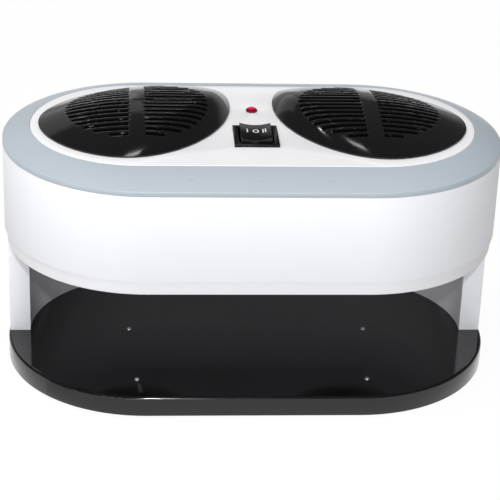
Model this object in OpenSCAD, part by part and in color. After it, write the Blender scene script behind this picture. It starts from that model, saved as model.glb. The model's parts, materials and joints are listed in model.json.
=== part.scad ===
// Twin fan nail dryer that stands on a table.
// A black base slab, a C-shaped rear wall, and a housing with two fans that blow
// warm air down on to the hands or feet. X runs left to right, the open front
// faces -Y, +Z is up, and the origin is on the table under the middle.
// All sizes are millimetres.

/* [Body outline] */
// Length of the upper housing, left to right
body_len = 300; // [290:1:330]
// Depth of the upper housing, front to back
body_depth = 172; // [170:1:190]
// How far the lower housing and rear wall are set in from the upper housing
step_in = 1.6; // [1:0.1:3]
// How far the base slab stands out from the rear wall
base_out = 0.8; // [0.2:0.1:3]

/* [Heights] */
// Height of the rubber feet under the base
foot_h = 2; // [1.5:0.5:5]
// Height of the base slab
base_h = 12.5; // [10.5:0.5:20]
// Free height of the hand opening
opening_h = 68; // [60:1:90]
// Visible height of the lower housing strip
strip_h = 8.5; // [7:0.5:14]
// Height of the upper housing band
band_h = 53.5; // [52:0.5:65]
// Straight outer lip of the trim ring
lip_h = 3.2; // [2.8:0.1:5]
// Rise of the trim ring bevel above its lip
bevel_h = 6.6; // [5:0.1:9]

/* [Walls and clearances] */
// Wall of the moulded housings
wall = 2.8; // [2:0.1:3.4]
// Floor thickness of the lower housing
floor_t = 2.5; // [2:0.1:4]
// Thickness of the top panel
panel_t = 2.5; // [2:0.1:3.5]
// Thickness of the rear wall with its lining
rear_t = 12.6; // [11:0.1:16]
// Skin of the rear wall shell
rear_skin = 2.5; // [2:0.1:3]
// Thickness of the grey lining
liner_t = 2; // [1.5:0.1:2.5]
// Front face of the rear wall, measured from the centre line
leg_y = -1; // [-6:0.5:6]
// Gap between mouldings that fit into each other
fit_gap = 0.2; // [0.1:0.05:0.3]
// Edge rounding of the base slab
base_round = 1.5; // [0.5:0.1:2.2]

/* [Top panel] */
// Length of the white top panel
panel_len = 267; // [262:1:272]
// Depth of the white top panel
panel_depth = 127; // [124:1:130]

/* [Fan domes] */
// Distance of each fan axis from the middle
fan_x = 70; // [69:0.5:71]
// Distance of the fan axes behind the middle
fan_y = 4; // [2:0.5:5]
// Mean reach of a dome's egg outline from its centre
egg_r = 57.4; // [55:0.1:58]
// Distance of the egg's centre from the middle
egg_x = 68.7; // [67:0.1:69.5]
// Distance of the egg's centre behind the middle
egg_y = 6.5; // [4:0.1:7]
// How much longer than its mean reach the egg is towards both ends
egg_long = 7; // [5:0.1:7.5]
// How much farther it reaches at its inner tip
egg_tip = 3.3; // [2:0.1:3.6]
// Direction of the inner tip, anticlockwise from the right
egg_turn = 136.5; // [134:0.5:139]
// Height of a dome's crest above the panel
dome_h = 12.5; // [9:0.5:16]
// Height of a dome's edge above the panel
dome_edge = 1; // [0.8:0.1:2]
// Thickness of a dome's shell
dome_t = 2; // [1.6:0.1:2.4]
// Distance of a dome's crest from the middle
crest_x = 73; // [70:0.5:76]
// Distance of a dome's crest behind the middle
crest_y = 9; // [4:0.5:12]
// Radius of the slotted area
slot_r = 42; // [36:0.5:43]
// Rows of slots in each dome
slot_rows = 15; // [11:2:17]
// Distance from one slot to the next
slot_pitch = 5.2; // [4:0.1:5.4]
// Width of one slot
slot_w = 2.8; // [2:0.1:3.2]
// Width of the rib down the middle of the slots
rib_w = 9.6; // [6:0.2:12]

/* [Fans] */
// Side of the square fan frame
fan_size = 92; // [90:0.5:92]
// Thickness of the fan
fan_t = 25; // [25:0.5:28]
// Distance of the fan's screw holes from its sides
hole_in = 4.75; // [4.5:0.05:5.5]
// Thinnest wall of the fan frame round its bore
fan_wall = 1.4; // [1.2:0.1:2.5]
// Gap between blade tips and frame
tip_gap = 1.2; // [0.8:0.1:2]
// Number of blades
blades = 7; // [5:1:9]
// Pitch angle of the blades
blade_pitch = 38; // [30:1:42]
// Radius of the fan shaft
shaft_r = 1.5; // [1.2:0.1:1.7]
// Running gap between the shaft and its bearings
run_gap = 0.03; // [0.02:0.01:0.08]

/* [Air duct and heater] */
// Height of the duct between outlet grille and fan
duct_h = 20; // [20:0.5:26]
// How much wider than the fan's bore the duct is all round
duct_step = 0.6; // [0.2:0.1:0.9]
// Wall of the duct
duct_wall = 2; // [1.5:0.1:2.2]
// Thickness of the outlet grilles
outlet_t = 2; // [1.5:0.1:3]
// Ledge of the housing floor under the duct
outlet_ledge = 0.7; // [0.2:0.1:4]
// Radius of the heater tube
heater_r = 1.5; // [1:0.1:2]
// Step of the heater spiral at every half turn
heater_step = 8; // [6:0.5:8.5]
// Height of the heater frame
heater_h = 13; // [10:0.5:13]

/* [Switch] */
// Width of the switch bezel, left to right
bezel_w = 26.5; // [26.2:0.1:30]
// Depth of the switch bezel, front to back
bezel_d = 29.6; // [29.2:0.1:33]
// Height of the bezel above the panel
bezel_h = 2; // [1.5:0.1:2.2]
// Distance of the switch's centre in front of the middle
switch_y = 21.5; // [19:0.5:23]
// Width of the rocker, left to right
rocker_w = 18.6; // [16:0.1:18.8]
// Height of the rocker's ends above the panel
rocker_h = 5; // [4:0.1:5.4]
// Depth of the switch body below the panel
switch_body_h = 20; // [19:0.5:24]

/* [Indicator lamp] */
// Diameter of the lens
lens_d = 7; // [5:0.1:8]
// Distance of the lamp behind the middle
lamp_y = 21; // [16:0.5:30]

/* [Screws in the base] */
// Distance of the front cover screws from the middle
screw_front_x = 69.5; // [60:0.5:80]
// Distance of the front cover screws in front of the middle
screw_front_y = 63.7; // [58:0.1:68]
// Distance of the middle cover screws from the middle
screw_mid_x = 74.2; // [60:0.5:85]
// How far the screw tips stand above the floor
screw_tip = 1.3; // [0.5:0.1:2]

/* [Hidden] */

// fine and coarse rounding
fine = 96;
mid = 48;
low = 24;
// a cut reaches this far past the face that it goes through
cut = 1;

// outline: every ring shares the centres of its two round ends
end_x = (body_len - body_depth) / 2;
body_r = body_depth / 2;
rear_r = body_r - step_in;
base_r = rear_r + base_out;
// the panel's round ends have their own centres
panel_r = panel_depth / 2;
panel_end = (panel_len - panel_depth) / 2;

// levels
floor_z = foot_h + base_h;
ceiling_z = floor_z + opening_h;
strip_top = ceiling_z + strip_h;
deck_z = strip_top + band_h;
panel_z = deck_z + lip_h + bevel_h;
inner_floor = ceiling_z + floor_t;

// mouldings
tongue_h = 6;
tongue_r = body_r - wall - fit_gap;
tongue_t = 2.2;
base_top_t = 2.5;
base_rim_t = 2.5;
cover_t = 2;
shelf_t = 3;
shelf_lip = 3;
skirt_t = 2.5;
trim_t = 2.2;
edge_gap = 0.15;

// screws shared by the housings
screw_r = 1.5;
screw_gap = 0.05;
head_r = 3;
head_h = 2.2;
// lower housing to upper housing
post_x = fan_x;
post_y = 65;
post_r = 4;
well_r = 5;
well_h = 10;
well_web = 2.5;
// trim ring screws, three along each straight side
trim_boss_r = 3;
trim_mid = (body_r + panel_r) / 2 - 1;
trim_boss_h = lip_h + bevel_h * (body_r - trim_mid - trim_boss_r) / (body_r - panel_r) - 0.3;
trim_cover = 0.8;
trim_screw_len = shelf_t + trim_boss_h - 1.5 * trim_cover;
trim_spots = [for (sx = [-1, 0, 1]) for (sy = [-1, 1]) [sx * (end_x - 8 * trim_boss_r), sy * trim_mid]];
// rear wall bosses
boss_r = 3.2;
boss_rib = 2.5;
boss_mid = rear_r - rear_t + liner_t + boss_r + fit_gap;
wall_angles = [20, 75];
wall_spots = [for (s = [-1, 1]) for (a = wall_angles)
    [s * (end_x + boss_mid * cos(a)), boss_mid * sin(a)]];
wall_screw_len = 11;

// base cover screws, two of the six pairs are named sizes
screw_back_y = screw_front_y - 4;
cover_spots = [for (s = [-1, 1]) for (p = [[screw_front_x, -screw_front_y],
    [screw_mid_x, 0], [screw_front_x, screw_back_y]]) [s * p[0], p[1]]];
foot_r = 8;
foot_angle = 55;
foot_mid = base_r - base_rim_t - foot_r - 10;
foot_spots = [for (sx = [-1, 1]) for (sy = [-1, 1])
    [sx * (end_x + foot_mid * cos(foot_angle)), sy * foot_mid * sin(foot_angle)]];

// domes
dome_levels = [1, 0.94, 0.84, 0.7, 0.5, 0.25];
dome_inset = 1.5;
dome_hook = 1;
dome_lip = 1;

// fan internals, heights above the fan's underside
fan_pitch = fan_size - 2 * hole_in;
fan_bore = fan_size - 2 * fan_wall;
duct_bore = fan_bore + 2 * duct_step;
outlet_r = duct_bore / 2 - outlet_ledge;
fan_z = inner_floor + outlet_t + duct_h;
flange_t = 3.2;
corner_r = 4;
fan_hole_r = 2.15;
spoke_w = 4;
spoke_h = 3;
hub_base_r = 17;
hub_base_h = 2;
spoke_in = 2;
tube_r = 5.6;
tube_boss_r = 7;
tube_boss_h = 5;
tube_top = 15;
bearing_r = 4;
bearing_h = 4;
bearing_gap = 0.02;
cup_r = 18;
cup_wall = 1.8;
cup_low = 4.5;
cup_top = 22;
cup_roof = 2;
magnet_t = 2.2;
magnet_h = 9;
stator_r = 12.8;
stator_h = 8;
shoe_t = 1.4;
coil_over = 1;
coil_w = 7.2;
coil_x0 = tube_r + 2.2;
coil_x1 = sqrt(pow(stator_r - shoe_t, 2) - pow(coil_w / 2, 2)) - fit_gap;
arm_w = 4;
fan_board_t = 1.2;
blade_t = 1.6;
blade_chord = 25;
blade_camber = 40;
fan_screw_r = 1.9;
fan_screw_deep = 12;
fan_post_r = 4.2;

// heater
mica_t = 1;
mica_len = duct_bore / 2 - 0.5;
heater_turns = 4;
heater_r0 = 10;
heater_z = inner_floor + outlet_t + heater_h + heater_r;
heater_reach = heater_r0 + (heater_turns - 1) * heater_step;

// switch, heights from the panel's top
body_wall = 1.5;
hole_gap = 0.2;
bezel_ledge = 1.15;
switch_w = bezel_w - 2 * (bezel_ledge + hole_gap);
switch_d = bezel_d - 2 * (bezel_ledge + hole_gap);
rocker_d = switch_d - 2 * body_wall - 0.6;
rocker_low = -5;
pivot_r = 1.5;
pivot_len = 1.1;
pivot_gap = 0.06;
pole_y = 5.5;
plunger_r = 1.9;
plunger_low = -9.5;
plunger_top = -3;
plunger_bore = 2.3;
spring_top = 1;
spring_wire = 0.35;
spring_turns = 5;
contact_top = -9.8;
contact_t = 0.8;
contact_len = 17;
contact_w = 5;
throw_x = 7.6;
terminal_t = 0.8;
terminal_w = 4.8;
terminal_long = 8;
fixed_top = -13;
bead_r = 0.6;
bead_z = contact_top - contact_t - 0.3;

// lamp
lens_cap = 1;
lens_stem_r = lens_d / 2 - 0.5;
lens_stem = 11;
bulb_r = lens_stem_r - 0.8;
clip_t = 1.2;

// circuit board
board_w = 36;
board_y0 = -40;
board_y1 = 44;
board_t = 1.6;
standoff_h = 4;
standoff_r = 3;
board_top = inner_floor + standoff_h + board_t;
board_spots = [for (sx = [-1, 1]) for (y = [board_y0 + 4, board_y1 - 4]) [sx * (board_w / 2 - 4), y]];
board_screw_r = 1.2;
board_screw_len = 5;
block_y = -30;
block_w = 20;
block_h = 9;
plug_y = 33;
plug_h = 6;
choke_y = 17;
choke_w = 18;
choke_h = 14;
cap_r = 5;
relay_w = 9;
relay_d = 15;
relay_h = 11;

// mains inlet
inlet_w = 22;
inlet_h = 12;
inlet_z = strip_top + tongue_h + 12;
inlet_flange = 4;
inlet_flange_t = 2;
inlet_deep = 15;
inlet_web = 3;
pin_tail = 5;
recess_r = 4.2;
recess_half = 3.7;
pin_r = 1.2;
pin_x = 4.3;

// wiring
wire_r = 0.9;
lead_x = board_w / 2 - 3;

white = [0.96, 0.96, 0.98];
black = [0.08, 0.08, 0.09];
steel = [0.75, 0.76, 0.78];

// ---- shared shapes -------------------------------------------------------

// stadium outline with round ends of radius r about x = +-half
module outline(r, half = end_x) {
    translate([-half, -r]) square([2 * half, 2 * r]);
    for (s = [-1, 1]) translate([s * half, 0]) circle(r = r, $fn = fine);
}

module slab(r, z0, z1, half = end_x)
    translate([0, 0, z0]) linear_extrude(z1 - z0) outline(r, half);

module ring(r, t, z0, z1, half = end_x)
    difference() {
        slab(r, z0, z1, half);
        slab(r - t, z0 - cut, z1 + cut, half);
    }

// sweeps a profile, drawn as radius and height, around the stadium
module sweep(half = end_x) {
    for (s = [-1, 1])
        translate([s * half, 0, 0]) rotate([0, 0, -90 * s])
            rotate_extrude(angle = 180, $fn = fine) children();
    for (s = [0, 180])
        rotate([0, 0, 90 + s]) rotate([90, 0, 0])
            linear_extrude(2 * half, center = true) children();
}

module at_each(spots) for (p = spots) translate([p[0], p[1], 0]) children();

// pan-head screw that points up, with its head's underside at z = 0
module screw_up(len, r = screw_r) {
    cylinder(r = r, h = len, $fn = low);
    translate([0, 0, -head_h]) difference() {
        cylinder(r = 2 * r, h = head_h, $fn = low);
        translate([0, 0, -cut]) cylinder(r = 0.7 * r, h = cut + head_h / 2, $fn = 6);
    }
}

module screw_down(len, r = screw_r) mirror([0, 0, 1]) screw_up(len, r);

// ---- base ----------------------------------------------------------------

module base_tray() color(black) difference() {
    union() {
        difference() {
            union() {
                slab(base_r, foot_h, floor_z - base_round);
                slab(base_r - base_round, floor_z - base_round, floor_z);
                base_edge();
            }
            slab(base_r - base_rim_t, foot_h - cut, floor_z - base_top_t);
        }
        at_each(cover_spots)
            translate([0, 0, foot_h + cover_t])
                cylinder(r = post_r, h = base_h - cover_t - base_top_t / 2, $fn = mid);
    }
    at_each(cover_spots) cylinder(r = screw_r + screw_gap, h = floor_z + cut, $fn = low);
    at_each(wall_spots) cylinder(r = screw_r + screw_gap, h = floor_z + cut, $fn = low);
}

// rounded top edge of the base
module base_edge() translate([0, 0, floor_z - base_round]) sweep()
    intersection() {
        translate([base_r - base_round, 0]) circle(r = base_round, $fn = mid);
        translate([base_r - base_round - cut, 0]) square([cut + base_round, base_round]);
    }

module base_cover() color([0.12, 0.12, 0.13]) difference() {
    slab(base_r - base_rim_t - fit_gap, foot_h, foot_h + cover_t);
    at_each(cover_spots) cylinder(r = screw_r + screw_gap, h = floor_z, $fn = low);
}

module rubber_feet() color([0.05, 0.05, 0.05]) at_each(foot_spots) {
    cylinder(r = foot_r, h = foot_h, $fn = mid);
}

// six screws that hold the cover; their tips come through the floor
module cover_screws() color(steel) at_each(cover_spots)
    translate([0, 0, foot_h]) {
        cylinder(r = screw_r, h = base_h + screw_tip - screw_r, $fn = low);
        translate([0, 0, base_h + screw_tip - screw_r]) sphere(r = screw_r, $fn = low);
        translate([0, 0, -head_h + 0.6]) cylinder(r = head_r, h = head_h - 0.6, $fn = low);
    }

// ---- rear wall -----------------------------------------------------------

// keeps what lies behind the line y = from
module behind(from) intersection() {
    children();
    translate([-body_len, from]) square([2 * body_len, body_len]);
}

// section of the shell: an outer skin, flat front faces, and ribbed bosses
module rear_section() {
    difference() {
        behind(leg_y) outline(rear_r);
        behind(leg_y + rear_skin) outline(rear_r - rear_skin);
        outline(rear_r - rear_t);
    }
    at_each(wall_spots) circle(r = boss_r, $fn = mid);
    for (s = [0, 1]) for (a = wall_angles) mirror([s, 0])
        translate([end_x, 0]) rotate(a) translate([boss_mid, -boss_rib / 2])
            square([rear_r - rear_skin / 2 - boss_mid, boss_rib]);
}

module rear_wall() color(white) difference() {
    translate([0, 0, floor_z]) linear_extrude(opening_h) rear_section();
    at_each(wall_spots) translate([0, 0, floor_z - cut])
        cylinder(r = screw_r + screw_gap, h = wall_screw_len + cut, $fn = low);
    at_each(wall_spots) translate([0, 0, ceiling_z - wall_screw_len])
        cylinder(r = screw_r + screw_gap, h = wall_screw_len + cut, $fn = low);
}

module wall_liner() color([0.42, 0.41, 0.43])
    translate([0, 0, floor_z]) linear_extrude(opening_h)
        behind(leg_y + rear_skin + edge_gap) difference() {
            outline(rear_r - rear_t + liner_t);
            outline(rear_r - rear_t);
        }

// eight screws: up through the base and down through the housing floor
module wall_screws() color(steel) at_each(wall_spots) {
    translate([0, 0, floor_z - base_top_t]) screw_up(wall_screw_len);
    translate([0, 0, inner_floor]) screw_down(wall_screw_len);
}

// ---- housings ------------------------------------------------------------

module fan_spots() for (s = [-1, 1]) translate([s * fan_x, fan_y, 0]) children();

module corner_spots() for (sx = [-1, 1]) for (sy = [-1, 1])
    translate([sx * fan_pitch / 2, sy * fan_pitch / 2, 0]) children();

module post_spots() for (sx = [-1, 1]) for (sy = [-1, 1])
    translate([sx * post_x, sy * post_y, 0]) children();

module lower_housing() color([0.93, 0.93, 0.95]) difference() {
    union() {
        slab(rear_r, ceiling_z, inner_floor);
        ring(rear_r, rear_r - tongue_r + tongue_t, ceiling_z, strip_top);
        ring(tongue_r, tongue_t, ceiling_z, strip_top + tongue_h);
        post_spots() translate([0, 0, ceiling_z])
            cylinder(r = well_r, h = well_h, $fn = mid);
        fan_spots() corner_spots() translate([0, 0, ceiling_z])
            cylinder(r = fan_post_r, h = fan_z - ceiling_z, $fn = mid);
        at_each(board_spots) translate([0, 0, ceiling_z])
            cylinder(r = standoff_r, h = floor_t + standoff_h, $fn = mid);
    }
    fan_spots() translate([0, 0, ceiling_z - cut])
        cylinder(r = outlet_r, h = floor_t + 2 * cut, $fn = fine);
    fan_spots() corner_spots() translate([0, 0, fan_z - fan_screw_deep - 1])
        cylinder(r = fan_screw_r + screw_gap, h = fan_screw_deep + 1 + cut, $fn = low);
    post_spots() translate([0, 0, ceiling_z - cut]) {
        cylinder(r = head_r + fit_gap, h = cut + well_h - well_web, $fn = low);
        cylinder(r = screw_r + screw_gap, h = 2 * cut + well_h, $fn = low);
    }
    at_each(wall_spots) translate([0, 0, ceiling_z - cut])
        cylinder(r = screw_r + screw_gap, h = floor_t + 2 * cut, $fn = low);
    at_each(board_spots) translate([0, 0, inner_floor])
        cylinder(r = board_screw_r + screw_gap, h = standoff_h + cut, $fn = low);
}

module upper_housing() color(white) difference() {
    union() {
        ring(body_r, wall, strip_top, deck_z);
        difference() {
            slab(body_r, deck_z - shelf_t, deck_z);
            slab(panel_r - shelf_lip, deck_z - shelf_t - cut, deck_z + cut, panel_end);
        }
        post_spots() translate([0, 0, ceiling_z + well_h])
            cylinder(r = post_r, h = deck_z - shelf_t / 2 - ceiling_z - well_h, $fn = mid);
    }
    post_spots() translate([0, 0, ceiling_z + well_h - cut])
        cylinder(r = screw_r + screw_gap, h = wall_screw_len + cut, $fn = low);
    at_each(trim_spots) translate([0, 0, deck_z - shelf_t - cut])
        cylinder(r = screw_r + screw_gap, h = shelf_t + 2 * cut, $fn = low);
    inlet_opening(fit_gap);
}

// four screws that join the two housings from below, sunk in their wells
module housing_screws() color(steel) post_spots()
    translate([0, 0, ceiling_z + well_h - well_web]) screw_up(wall_screw_len);

// outer body of the trim ring; inset makes it smaller all round
module trim_body(inset, z0) hull() {
    slab(body_r - inset, z0, deck_z + lip_h - inset / 2);
    slab(panel_r - 0.01, z0, panel_z - inset, panel_end);
}

module trim_ring() color([0.73, 0.76, 0.78]) difference() {
    union() {
        difference() {
            trim_body(0, deck_z);
            difference() {
                trim_body(trim_t, deck_z - cut);
                slab(panel_r + trim_t, deck_z - 2 * cut, panel_z + cut, panel_end);
            }
        }
        at_each(trim_spots) translate([0, 0, deck_z])
            cylinder(r = trim_boss_r, h = trim_boss_h, $fn = mid);
    }
    slab(panel_r + edge_gap, deck_z - cut, panel_z + cut, panel_end);
    at_each(trim_spots) translate([0, 0, deck_z - cut])
        cylinder(r = screw_r + screw_gap, h = cut + trim_boss_h - trim_cover, $fn = low);
}

module trim_screws() color(steel) at_each(trim_spots)
    translate([0, 0, deck_z - shelf_t]) screw_up(trim_screw_len);

// ---- top panel and domes -------------------------------------------------

// egg outline, drawn from its reach in each direction: a circle drawn out to both
// ends and a little farther at its tip; grow moves the whole edge outwards
function egg_reach(a) = egg_r + egg_long * cos(2 * (a - egg_turn)) + egg_tip * cos(3 * (a - egg_turn));
function egg_swing(a) = -2 * egg_long * sin(2 * (a - egg_turn)) - 3 * egg_tip * sin(3 * (a - egg_turn));
function egg_at(a, grow = 0) = [egg_x, egg_y] + (egg_reach(a) + grow) * [cos(a), sin(a)]
    + egg_swing(a) * [-sin(a), cos(a)];

module egg(grow = 0, sides = fine) polygon([for (k = [0 : sides - 1]) egg_at(360 * k / sides, grow)]);

module egg_block(grow, z0, z1) translate([0, 0, z0]) linear_extrude(z1 - z0) egg(grow);

// clips stand on the egg's edge where it faces these angles
clip_angles = [-140, -60, 0, 60];

module top_panel() color(white) difference() {
    union() {
        slab(panel_r, panel_z - panel_t, panel_z, panel_end);
        ring(panel_r, skirt_t, deck_z, panel_z - panel_t / 2, panel_end);
        panel_hooks();
    }
    for (s = [0, 1]) mirror([s, 0, 0])
        egg_block(-dome_inset, panel_z - panel_t - cut, panel_z + cut);
    translate([-switch_w / 2 - hole_gap, -switch_y - switch_d / 2 - hole_gap, panel_z - panel_t - cut])
        cube([switch_w + 2 * hole_gap, switch_d + 2 * hole_gap, panel_t + 2 * cut]);
    translate([0, lamp_y, panel_z - panel_t - cut])
        cylinder(r = lens_stem_r + 0.1, h = panel_t + 2 * cut, $fn = low);
}

// hooks that reach from the skirt down past the shelf and catch under it
module panel_hooks() {
    hook_w = 10;
    hook_t = 1.8;
    inner = panel_r - shelf_lip;
    for (sx = [-1, 0, 1]) for (sy = [-1, 1])
        translate([sx * (panel_end - hook_w) - hook_w / 2, 0, 0]) mirror([0, sy < 0 ? 1 : 0, 0])
            translate([0, inner - fit_gap - hook_t, 0]) {
                translate([0, 0, deck_z - shelf_t - hook_t - edge_gap])
                    cube([hook_w, hook_t, shelf_t + hook_t + edge_gap + lip_h]);
                translate([0, 0, deck_z - shelf_t - hook_t - edge_gap])
                    cube([hook_w, hook_t + fit_gap + 1, hook_t]);
                // foot that ties the hook to the skirt
                translate([0, 0, deck_z + edge_gap])
                    cube([hook_w, hook_t + fit_gap + 1, lip_h - edge_gap]);
            }
}

// crowned form over the egg: each level is the egg drawn in towards the crest,
// and its height follows a parabola; drawn and sunk make it narrower and lower
module dome_form(drawn, sunk, z0) hull() for (k = dome_levels)
    translate([crest_x, crest_y, z0])
        linear_extrude(panel_z - z0 + dome_h - sunk - (dome_h - dome_edge) * k * k)
            scale(k) translate([-crest_x, -crest_y]) egg(-drawn, mid);

// one dome over the right fan
module dome() difference() {
    rim = dome_inset + hole_gap;
    union() {
        difference() {
            dome_form(0, 0, panel_z);
            dome_form(rim + dome_t, dome_t, panel_z - dome_t - cut);
        }
        // rim that passes through the panel
        difference() {
            egg_block(-rim, panel_z - panel_t - edge_gap - dome_lip, panel_z + dome_edge / 2);
            egg_block(-rim - dome_t, panel_z - 2 * panel_t - cut, panel_z + dome_h);
        }
        dome_clips();
    }
    dome_slots();
}

// small barbs under the panel on the collar
module dome_clips() for (a = clip_angles)
    translate(concat(egg_at(a, -dome_inset - hole_gap - dome_t / 2),
        panel_z - panel_t - edge_gap - dome_lip)) rotate([0, 0, a])
            translate([0, -4, 0]) cube([dome_t / 2 + dome_hook + hole_gap, 8, dome_lip]);

module dome_slots() {
    rows = (slot_rows - 1) / 2;
    for (row = [-rows : rows]) {
        y = row * slot_pitch;
        reach = sqrt(pow(slot_r, 2) - pow(y, 2));
        if (reach > rib_w / 2 + 2)
            for (s = [-1, 1])
                translate([fan_x + (s > 0 ? rib_w / 2 : -reach), fan_y + y - slot_w / 2, panel_z - cut])
                    cube([reach - rib_w / 2, slot_w, dome_h + 2 * cut]);
    }
}

module dome_grille_right() color(black) dome();
module dome_grille_left() color(black) mirror([1, 0, 0]) dome();

// ---- outlet, duct and heater ---------------------------------------------

module at_fan(s, z) translate([s * fan_x, fan_y, z]) children();

module outlet_grille(s) color([0.16, 0.16, 0.17]) at_fan(s, inner_floor) {
    bar = 2;
    bars = 5;
    difference() {
        cylinder(r = duct_bore / 2 + duct_wall + 0.6, h = outlet_t, $fn = fine);
        translate([0, 0, -cut]) cylinder(r = outlet_r - 1.5, h = outlet_t + 2 * cut, $fn = fine);
    }
    for (k = [1 : bars]) {
        r = k * outlet_r / (bars + 1);
        difference() {
            cylinder(r = r + bar / 2, h = outlet_t, $fn = mid);
            translate([0, 0, -cut]) cylinder(r = r - bar / 2, h = outlet_t + 2 * cut, $fn = mid);
        }
    }
    for (a = [0, 90])
        rotate([0, 0, a]) translate([-outlet_r, -bar, 0]) cube([2 * outlet_r, 2 * bar, outlet_t]);
}

module outlet_grille_left() outlet_grille(-1);
module outlet_grille_right() outlet_grille(1);

module air_duct(s) color([0.85, 0.84, 0.8]) at_fan(s, inner_floor + outlet_t) difference() {
    cylinder(r = duct_bore / 2 + duct_wall, h = duct_h, $fn = fine);
    translate([0, 0, -cut]) cylinder(r = duct_bore / 2, h = duct_h + 2 * cut, $fn = fine);
    // notch for the heater leads, on the side of the circuit board
    translate([-s * duct_bore / 2 - 5, -6, duct_h - 5]) cube([10, 12, 5 + cut]);
}

module air_duct_left() air_duct(-1);
module air_duct_right() air_duct(1);

module heater_frame(s) color([0.86, 0.8, 0.66]) at_fan(s, inner_floor + outlet_t)
    for (a = [0, 90]) rotate([0, 0, a])
        translate([-mica_len, -mica_t / 2, 0]) cube([2 * mica_len, mica_t, heater_h]);

module heater_frame_left() heater_frame(-1);
module heater_frame_right() heater_frame(1);

// flat spiral of half circles about two centres, one unbroken tube
module heater_tube(s) color([0.45, 0.44, 0.44])
    at_fan(s, heater_z) mirror([s > 0 ? 1 : 0, 0, 0])
        for (k = [0 : heater_turns - 1])
            translate([(k % 2 == 0 ? -1 : 1) * heater_step / 2, 0, 0]) rotate([0, 0, k % 2 == 0 ? 0 : 180])
                rotate_extrude(angle = 180, $fn = mid)
                    translate([heater_r0 + k * heater_step, 0]) circle(r = heater_r, $fn = low);

module heater_tube_left() heater_tube(-1);
module heater_tube_right() heater_tube(1);

module thermal_cutouts() color([0.55, 0.5, 0.42]) for (s = [-1, 1])
    at_fan(s, inner_floor + outlet_t)
        translate([22, mica_t / 2, 2]) cube([8, 3.5, heater_h - 3]);

// ---- fans ----------------------------------------------------------------

module fan_plate() {
    half = fan_size / 2;
    for (p = [[half, half - corner_r], [half - corner_r, half]])
        translate([-p[0], -p[1]]) square([2 * p[0], 2 * p[1]]);
    for (sx = [-1, 1]) for (sy = [-1, 1])
        translate([sx * (half - corner_r), sy * (half - corner_r)]) circle(r = corner_r, $fn = mid);
}

module fan_frame(s) color([0.1, 0.1, 0.11]) at_fan(s, fan_z) {
    difference() {
        union() {
            cylinder(r = fan_size / 2, h = fan_t, $fn = fine);
            for (z = [0, fan_t - flange_t]) translate([0, 0, z]) linear_extrude(flange_t) fan_plate();
        }
        translate([0, 0, -cut]) cylinder(r = fan_bore / 2, h = fan_t + 2 * cut, $fn = fine);
        corner_spots() translate([0, 0, -cut])
            cylinder(r = fan_hole_r, h = fan_t + 2 * cut, $fn = low);
    }
    difference() {
        union() {
            cylinder(r = hub_base_r, h = hub_base_h, $fn = mid);
            for (a = [45 : 90 : 315]) rotate([0, 0, a]) translate([hub_base_r - spoke_in, -spoke_w / 2, 0])
                cube([fan_bore / 2 - hub_base_r + spoke_in + 0.4, spoke_w, spoke_h]);
            cylinder(r = tube_boss_r, h = tube_boss_h, $fn = mid);
            cylinder(r = tube_r, h = tube_top, $fn = mid);
        }
        translate([0, 0, -cut]) cylinder(r = bearing_r, h = bearing_h + 1 + cut, $fn = low);
        cylinder(r = bearing_r - 0.6, h = tube_top, $fn = low);
        translate([0, 0, tube_top - bearing_h]) cylinder(r = bearing_r, h = bearing_h + cut, $fn = low);
    }
}

module fan_frame_left() fan_frame(-1);
module fan_frame_right() fan_frame(1);

// cambered blade: a piece of a tube whose axis points outwards
module blade() intersection() {
    difference() {
        cylinder(r = fan_bore / 2 - tip_gap, h = fan_t, $fn = fine);
        translate([0, 0, -cut]) cylinder(r = cup_r - cup_wall / 2, h = fan_t + 2 * cut, $fn = mid);
    }
    translate([0, 0, (cup_low + cup_top) / 2]) rotate([blade_pitch, 0, 0])
        intersection() {
            translate([0, 0, -blade_camber]) rotate([0, 90, 0]) difference() {
                cylinder(r = blade_camber + blade_t / 2, h = fan_size, $fn = fine);
                translate([0, 0, -cut])
                    cylinder(r = blade_camber - blade_t / 2, h = fan_size + 2 * cut, $fn = fine);
            }
            translate([0, -blade_chord / 2, -blade_chord / 2]) cube([fan_size, blade_chord, blade_chord]);
        }
}

module fan_rotor(s) color([0.14, 0.14, 0.15]) at_fan(s, fan_z) {
    difference() {
        translate([0, 0, cup_low]) cylinder(r = cup_r, h = cup_top - cup_low, $fn = mid);
        translate([0, 0, cup_low - cut])
            cylinder(r = cup_r - cup_wall, h = cup_top - cup_roof - cup_low + cut, $fn = mid);
        cylinder(r = shaft_r + 0.01, h = cup_top - 0.8, $fn = low);
    }
    difference() {
        translate([0, 0, tube_top + 1]) cylinder(r = 4, h = cup_top - cup_roof - tube_top, $fn = low);
        cylinder(r = shaft_r + 0.01, h = cup_top - 0.8, $fn = low);
    }
    for (k = [0 : blades - 1]) rotate([0, 0, k * 360 / blades]) blade();
}

module fan_rotor_left() fan_rotor(-1);
module fan_rotor_right() fan_rotor(1);

module rotor_magnet(s) color([0.3, 0.28, 0.27]) at_fan(s, fan_z + cup_low) difference() {
    cylinder(r = cup_r - cup_wall - 0.02, h = magnet_h, $fn = mid);
    translate([0, 0, -cut]) cylinder(r = cup_r - cup_wall - magnet_t, h = magnet_h + 2 * cut, $fn = mid);
}

module rotor_magnet_left() rotor_magnet(-1);
module rotor_magnet_right() rotor_magnet(1);

module fan_shaft(s) color(steel) at_fan(s, fan_z + 0.5)
    cylinder(r = shaft_r, h = cup_top - 0.8 - 0.5, $fn = low);

module fan_shaft_left() fan_shaft(-1);
module fan_shaft_right() fan_shaft(1);

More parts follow.
